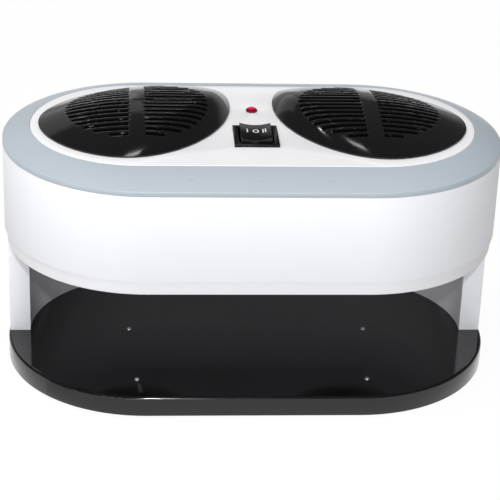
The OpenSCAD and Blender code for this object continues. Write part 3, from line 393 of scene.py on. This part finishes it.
# %% Outline and levels
housing_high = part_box("upper_housing")[1]
body_r = housing_high.y
end_x = housing_high.x - body_r
deck_z = housing_high.z
panel_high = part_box("top_panel")[1]
panel_r = panel_high.y
panel_end = panel_high.x - panel_r
panel_z = panel_high.z
print("housing", round(2 * housing_high.x / mm), "x", round(2 * body_r / mm), "mm")
print("panel at", round(panel_z / mm, 1), "mm")

# %% [markdown]
# ## Helpers for new pieces
# Each new piece is drawn in a bmesh, which is Blender's mesh with operators such as extrude and
# bevel. One helper turns it into an object: it merges doubles, turns faces outwards, shades
# them smoothly up to an angle, gives the finish, and ties the piece to its body of the frame.
# Large level faces are shaded flat. Smooth shading blends a face with the rounded edges around
# it, which would draw streaks into the reflections on the glossy base.

# %% Finished piece
smooth_angle = math.radians(32)
flat_area, level_cos = 300 * mm * mm, 0.99


def piece(mesh, name, slot, body, *nodes, doubles=0.001 * mm):
    """Makes an object of a bmesh; it takes the place of the nodes that are named."""
    bmesh.ops.remove_doubles(mesh, verts=mesh.verts, dist=doubles)
    bmesh.ops.recalc_face_normals(mesh, faces=mesh.faces)
    for face in mesh.faces:
        face.smooth = face.calc_area() < flat_area or abs(face.normal.z) < level_cos
    for edge in mesh.edges:
        edge.smooth = edge.is_manifold and edge.calc_face_angle(0) < smooth_angle
    data = bpy.data.meshes.new(name)
    mesh.to_mesh(data)
    mesh.free()
    made = bpy.data.objects.new(name, data)
    bpy.context.scene.collection.objects.link(made)
    data.materials.append(finishes[slot])
    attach(made, body)
    if nodes:
        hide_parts(*nodes)
    print(name, len(data.polygons), "faces")


# %% Loops and lofts
def loop_of(ring):
    """The edges of a ring of corners."""
    return list({edge for corner in ring for edge in corner.link_edges})


def stadium(mesh, half, radius, z, corners=192):
    """A closed loop of edges with two round ends at the height z."""
    ring = bmesh.ops.create_circle(mesh, segments=corners, radius=radius)["verts"]
    half_step = Matrix.Rotation(math.pi / corners, 3, "Z")
    bmesh.ops.rotate(mesh, verts=ring, cent=(0, 0, 0), matrix=half_step)
    for corner in ring:
        corner.co.x += math.copysign(half, corner.co.x)
        corner.co.z = z
    return loop_of(ring)


def loft(mesh, loops, closed=True):
    """Faces between each loop and the next, and from the last back to the first."""
    following = loops[1:] + (loops[:1] if closed else [])
    for low, high in zip(loops, following):
        bmesh.ops.bridge_loops(mesh, edges=low + high)


# %% Soft edges and thickness
def soften(mesh, edges, width, segments=3):
    """Rounds edges by a width."""
    bmesh.ops.bevel(mesh, geom=edges, offset=width, segments=segments, profile=0.5,
                    affect="EDGES", material=-1, clamp_overlap=True)


def thicken(mesh):
    """Extrudes all faces and keeps them; returns the new corners, which still lie on the old."""
    below = bmesh.ops.extrude_face_region(mesh, geom=mesh.faces[:], use_keep_orig=True)["geom"]
    return [part for part in below if isinstance(part, bmesh.types.BMVert)]


merge_gap = 0.002 * mm
level_angle, sharp_angle = math.radians(0.5), math.radians(30)


def softened(name, node, width, slot, body="housing"):
    """A copy of an engineering part with its sharp edges rounded, as a mould rounds them."""
    mesh = bmesh.new()
    mesh.from_mesh(frame["nodes"][node].data)
    bmesh.ops.remove_doubles(mesh, verts=mesh.verts, dist=merge_gap)
    bmesh.ops.dissolve_limit(mesh, angle_limit=level_angle, verts=mesh.verts, edges=mesh.edges)
    sharp = [edge for edge in mesh.edges
             if edge.is_manifold and edge.calc_face_angle(0) > sharp_angle]
    soften(mesh, sharp, width, 2)
    piece(mesh, name, slot, body, node)


# %% [markdown]
# ## Trim ring
# The ring between the white band and the white panel is a separate moulding in pale silver. It
# has a straight lip outside and a wide bevel up to the panel. Its section is a loop of corners
# that runs around the stadium, so it is lofted from one stadium loop for each corner. Bevelling
# the loops afterwards rounds the lip. Six bosses below take the screws of the ring.

# %% Trim ring
lip_h, ring_wall, ring_gap = 3.2 * mm, 2.2 * mm, 0.15 * mm
lip_round, rim_round = 0.7 * mm, 0.45 * mm
boss_r, boss_h, boss_line = 3 * mm, 6.2 * mm, 73.75 * mm
boss_places = (-40 * mm, 0, 40 * mm)
ring_mesh = bmesh.new()
section = [(end_x, body_r, deck_z), (end_x, body_r, deck_z + lip_h),
           (panel_end, panel_r + ring_gap, panel_z), (panel_end, panel_r + ring_gap, deck_z),
           (panel_end, panel_r + ring_wall, deck_z), (panel_end, panel_r + ring_wall, panel_z - ring_wall),
           (end_x, body_r - ring_wall, deck_z + lip_h - ring_wall / 2), (end_x, body_r - ring_wall, deck_z)]
loops = [stadium(ring_mesh, *corner) for corner in section]
loft(ring_mesh, loops)
soften(ring_mesh, loops[1], lip_round, 4)
soften(ring_mesh, [edge for edge in loops[0] + loops[2] if edge.is_valid], rim_round)
for across in boss_places:
    for side in (-1, 1):
        boss = bmesh.ops.create_cone(ring_mesh, cap_ends=True, segments=24, radius1=boss_r, radius2=boss_r,
                                     depth=boss_h)["verts"]
        bmesh.ops.translate(ring_mesh, verts=boss, vec=(across, side * boss_line, deck_z + boss_h / 2))
piece(ring_mesh, "silver_trim_ring", "silver_trim", "housing", "trim_ring")

# %% [markdown]
# ## Egg outline
# Seen from above, each dome is an egg that points to the back of the middle. A smooth convex
# outline can be drawn from its reach, which is how far its edge lies from the centre in each
# direction that the edge faces. A constant reach gives a circle. A second wave around the turn
# draws it out to both ends, and a third makes one end more pointed than the other. The top of
# the dome is a short ridge that runs from the rib towards the middle of the dryer. So smaller
# eggs are drawn in towards a line, the ridge, and not towards one point.

# %% Egg
egg_centre, egg_r = Vector((68.7, 6.5, 0)) * mm, 57.4 * mm
egg_long, egg_tip, egg_turn = 7 * mm, 3.3 * mm, math.radians(136.5)
ridge_middle, ridge_half = Vector((49, 10, 0)) * mm, 18 * mm


def egg(mesh, grow, z, drawn=1.0, corners=192):
    """The right dome's outline at a height, drawn in towards its ridge; returns its edges."""
    ring = bmesh.ops.create_circle(mesh, segments=corners, radius=1)["verts"]
    for corner in ring:
        facing = corner.co.normalized()
        turn = math.atan2(facing.y, facing.x) - egg_turn
        reach = egg_r + egg_long * math.cos(2 * turn) + egg_tip * math.cos(3 * turn) + grow
        swing = -2 * egg_long * math.sin(2 * turn) - 3 * egg_tip * math.sin(3 * turn)
        place = egg_centre + facing * reach + Vector((-facing.y, facing.x, 0)) * swing
        ridge = ridge_middle + Vector((ridge_half * facing.x, 0, 0))
        corner.co = ridge.lerp(place, drawn)
        corner.co.z = z
    return loop_of(ring)


def mirrored(mesh):
    """Turns a copy of everything over to the left side."""
    bmesh.ops.mirror(mesh, geom=mesh.verts[:] + mesh.edges[:] + mesh.faces[:], axis="X", merge_dist=-1)


print("egg about", round(2 * egg_r / mm), "mm across")

# %% [markdown]
# ## Top panel
# The white panel is a flat moulding with a skirt, and with real openings for the domes, the
# switch and the lamp. Cutting the openings out of a plate would need booleans, which can leave
# stray faces. So the outlines are drawn first, and a triangle fill makes the face between
# them. The face is extruded down to a plate, and its upper edges are rounded. The skirt is a
# loft of its own, which reaches a little into the plate.

# %% Outlines of the panel
panel_t, panel_round = 2.5 * mm, 0.4 * mm
egg_inset, bezel_ledge, lens_hole_r = 1.5 * mm, 1.15 * mm, 3.1 * mm
switch_low, switch_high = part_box("switch_body")
bezel_size = switch_high - switch_low
panel_mesh = bmesh.new()
egg(panel_mesh, -egg_inset, panel_z)
mirrored(panel_mesh)
hole = bmesh.ops.create_grid(panel_mesh, x_segments=1, y_segments=1, size=0.5)["verts"]
hole_size = (bezel_size.x - 2 * bezel_ledge, bezel_size.y - 2 * bezel_ledge, 1)
bmesh.ops.scale(panel_mesh, verts=hole, vec=hole_size)
bmesh.ops.translate(panel_mesh, verts=hole, vec=(0, (switch_low.y + switch_high.y) / 2, panel_z))
bmesh.ops.delete(panel_mesh, geom=panel_mesh.faces[:], context="FACES_ONLY")
lens_hole = bmesh.ops.create_circle(panel_mesh, segments=32, radius=lens_hole_r)["verts"]
bmesh.ops.translate(panel_mesh, verts=lens_hole, vec=(0, lens_centre.y, panel_z))
stadium(panel_mesh, panel_end, panel_r, panel_z)
print("switch opening", [round(size / mm, 1) for size in hole_size[:2]], "mm")

# %% Plate and skirt
bmesh.ops.triangle_fill(panel_mesh, edges=panel_mesh.edges[:], use_beauty=True, use_dissolve=False)
bmesh.ops.translate(panel_mesh, verts=thicken(panel_mesh), vec=(0, 0, -panel_t))
bmesh.ops.recalc_face_normals(panel_mesh, faces=panel_mesh.faces)
rim_angle, rim_depth = math.radians(60), 0.1 * mm
top_edges = [edge for edge in panel_mesh.edges
             if edge.is_manifold and edge.calc_face_angle(0) > rim_angle
             and min(corner.co.z for corner in edge.verts) > panel_z - rim_depth]
soften(panel_mesh, top_edges, panel_round)
skirt_in, skirt_t, skirt_lap = 0.1 * mm, 2.5 * mm, 0.5 * mm
skirt_top = panel_z - panel_t + skirt_lap
skirt = [stadium(panel_mesh, panel_end, panel_r - inset, z)
         for inset, z in ((skirt_in, deck_z), (skirt_in, skirt_top), (skirt_t, skirt_top), (skirt_t, deck_z))]
loft(panel_mesh, skirt)
piece(panel_mesh, "white_top_panel", "white_panel", "housing", "top_panel")

# %% [markdown]
# ## Domes
# Each dome is one glossy black moulding: a crowned egg with sixteen rows of air slots on both
# sides of a rib. The crown is lofted from eggs that are drawn in towards the ridge as they rise.
# A plane cuts along both edges of each row and across the ends of each slot, and the faces
# between the cuts are taken out. The rims of the slots are drawn down a little, so that the
# slats between them are crowned and catch light along their length. Last, the skin is extruded
# down to its thickness, but not below the panel, and a collar passes through the panel. A bump
# map of slots would be quicker, but nobody could look through it at the fan.

# %% Shape of a dome
dome_edge, dome_t = 1 * mm, 2 * mm
dome_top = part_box("dome_grille_right")[1].z - panel_z
crown, crowding, dome_rings = 2.0, 0.8, 24
levels = [math.cos(math.radians(90 * step / dome_rings)) ** crowding for step in range(dome_rings)]
fan_place = Vector((70, 6.6, 0)) * mm
slot_rows, slot_pitch, slot_w, slot_r, rib_w = 16, 5.2 * mm, 2.8 * mm, 42.3 * mm, 9.6 * mm
slot_rim, rim_drop, rim_reach = 0.7 * mm, 0.3 * mm, 1 * mm
cut_gap, skin_gap, dome_gap = 1e-7, 0.02 * mm, 0.0005 * mm
rows = [fan_place.y + (row - (slot_rows - 1) / 2) * slot_pitch for row in range(slot_rows)]
print("dome", round(dome_top / mm, 1), "mm high,", len(rows), "rows of slots")


def dome_height(drawn):
    """Height above the panel of the egg that is drawn in to this share."""
    return dome_edge + (dome_top - dome_edge) * (1 - drawn ** crown)


def cut(mesh, parts, place, across):
    """Cuts these faces, edges and corners with a plane."""
    bmesh.ops.bisect_plane(mesh, geom=parts, dist=cut_gap, plane_co=place, plane_no=across)


# %% Skin of a dome
def crowned_egg():
    """The closed crown of the right dome as an open sheet."""
    mesh = bmesh.new()
    rings = [egg(mesh, 0, panel_z + dome_height(k), k) for k in levels]
    loft(mesh, rings, closed=False)
    middle = bmesh.ops.contextual_create(mesh, geom=rings[-1])["faces"]
    bmesh.ops.poke(mesh, faces=middle)
    return mesh


def cut_slot(mesh, y, ends):
    """Cuts across a row at both ends of a slot, and takes the faces of the slot out."""
    for edge_x in (ends[0] - slot_rim, ends[0], ends[1], ends[1] + slot_rim):
        row_faces = [face for face in mesh.faces
                     if abs(face.calc_center_median().y - y) < slot_w / 2 + slot_rim]
        row_edges = {edge for face in row_faces for edge in face.edges}
        row_corners = {corner for edge in row_edges for corner in edge.verts}
        cut(mesh, [*row_corners, *row_edges, *row_faces], (edge_x, 0, 0), (1, 0, 0))
    inside = [face for face in mesh.faces
              if abs(face.calc_center_median().y - y) < slot_w / 2
              and ends[0] < face.calc_center_median().x < ends[1]]
    bmesh.ops.delete(mesh, geom=inside, context="FACES")


def dome_skin():
    """The crowned top of the right dome, with slots, as an open sheet."""
    mesh = crowned_egg()
    for y in rows:
        for edge_y in (-slot_w / 2 - slot_rim, -slot_w / 2, slot_w / 2, slot_w / 2 + slot_rim):
            cut(mesh, mesh.verts[:] + mesh.edges[:] + mesh.faces[:], (0, y + edge_y, 0), (0, 1, 0))
    for y in rows:
        reach = math.sqrt(slot_r ** 2 - (y - fan_place.y) ** 2)
        for side in (-1, 1):
            cut_slot(mesh, y, sorted((fan_place.x + side * rib_w / 2, fan_place.x + side * reach)))
    bmesh.ops.remove_doubles(mesh, verts=mesh.verts, dist=skin_gap)
    slot_edge = [corner for corner in mesh.verts if corner.is_boundary
                 and (corner.co.xy - fan_place.xy).length < slot_r + rim_reach]
    bmesh.ops.translate(mesh, verts=slot_edge, vec=(0, 0, -rim_drop))
    return mesh


# %% Domes
hole_gap, collar_lap, collar_down = 0.2 * mm, 0.5 * mm, 3.6 * mm
collar_out = egg_inset + hole_gap
collar_in = collar_out + dome_t


def dome(name, node, left):
    """A dome with its thickness and the collar that passes through the panel."""
    mesh = dome_skin()
    for corner in thicken(mesh):
        corner.co.z = max(corner.co.z - dome_t, panel_z)
    collar = [egg(mesh, -inset, z) for inset, z in ((collar_out, panel_z + collar_lap),
                                                    (collar_out, panel_z - collar_down),
                                                    (collar_in, panel_z - collar_down),
                                                    (collar_in, panel_z + collar_lap))]
    loft(mesh, collar)
    if left:
        bmesh.ops.scale(mesh, verts=mesh.verts, vec=(-1, 1, 1))
    piece(mesh, name, "gloss_black", "housing", node, doubles=dome_gap)


dome("dome_left", "dome_grille_left", True)
dome("dome_right", "dome_grille_right", False)

# %% [markdown]
# ## Shells with moulded edges
# The housing, the rear wall with its lining, the switch, the inlet, the base slab and the feet
# have the right shape in the engineering model, but its edges are perfectly sharp. No moulded
# edge is, and the thin line of light along a rounded edge is what makes a shell look real.
# Drawing those shells again would only risk a misfit. So copies of the parts are merged into
# whole meshes, and their sharp edges are bevelled.

# %% Softened shells
softened("white_band", "upper_housing", 0.5 * mm, "white_housing")
softened("white_strip_housing", "lower_housing", 0.5 * mm, "white_strip")
softened("white_rear_wall", "rear_wall", 0.5 * mm, "white_housing")
softened("grey_wall_lining", "wall_liner", 0.3 * mm, "grey_lining")
softened("switch_bezel", "switch_body", 0.5 * mm, "switch_black")
softened("tilting_rocker", "switch_rocker", 0.4 * mm, "switch_black", body="rocker")
softened("mains_inlet_socket", "inlet_socket", 0.4 * mm, "inlet_black")
softened("round_rubber_feet", "rubber_feet", 0.4 * mm, "black_rubber")
softened("black_base_slab", "base_tray", 0.6 * mm, "gloss_black")

# %% [markdown]
# ## Legends on the switch
# The rocker's positions are marked I, O and II in white, printed on its dished top. A text
# object could give them too, but a font's letters have proportions of their own, and bars and a
# ring are enough here. They are drawn flat, laid on the dish, and extruded down into the rocker
# by a tenth of a millimetre.

# %% Legends
dish_r, dish_drop, rocker_rise = 30 * mm, 1.6 * mm, 5 * mm
legend_step, legend_y, legend_h, stroke = 5 * mm, -19.5 * mm, 5.2 * mm, 0.75 * mm
ring_half, legend_proud, legend_t = 1.9 * mm, 0.04 * mm, 0.1 * mm
legend_mesh = bmesh.new()
for across in (-legend_step, legend_step - stroke, legend_step + stroke):
    bar = bmesh.ops.create_grid(legend_mesh, x_segments=1, y_segments=6, size=0.5)["verts"]
    bmesh.ops.scale(legend_mesh, verts=bar, vec=(stroke, legend_h, 1))
    bmesh.ops.translate(legend_mesh, verts=bar, vec=(across, legend_y, 0))
rings = []
for half, height in ((ring_half, legend_h / 2), (ring_half - stroke, legend_h / 2 - stroke)):
    ring = bmesh.ops.create_circle(legend_mesh, segments=40, radius=1)["verts"]
    bmesh.ops.scale(legend_mesh, verts=ring, vec=(half, height, 1))
    bmesh.ops.translate(legend_mesh, verts=ring, vec=(0, legend_y, 0))
    rings.append(loop_of(ring))
loft(legend_mesh, rings, closed=False)
for corner in legend_mesh.verts:
    dish = dish_r - dish_drop - math.sqrt(dish_r ** 2 - corner.co.x ** 2)
    corner.co.z = panel_z + rocker_rise + dish + legend_proud
bmesh.ops.translate(legend_mesh, verts=thicken(legend_mesh), vec=(0, 0, -legend_t))
piece(legend_mesh, "switch_legends", "nylon", "rocker")
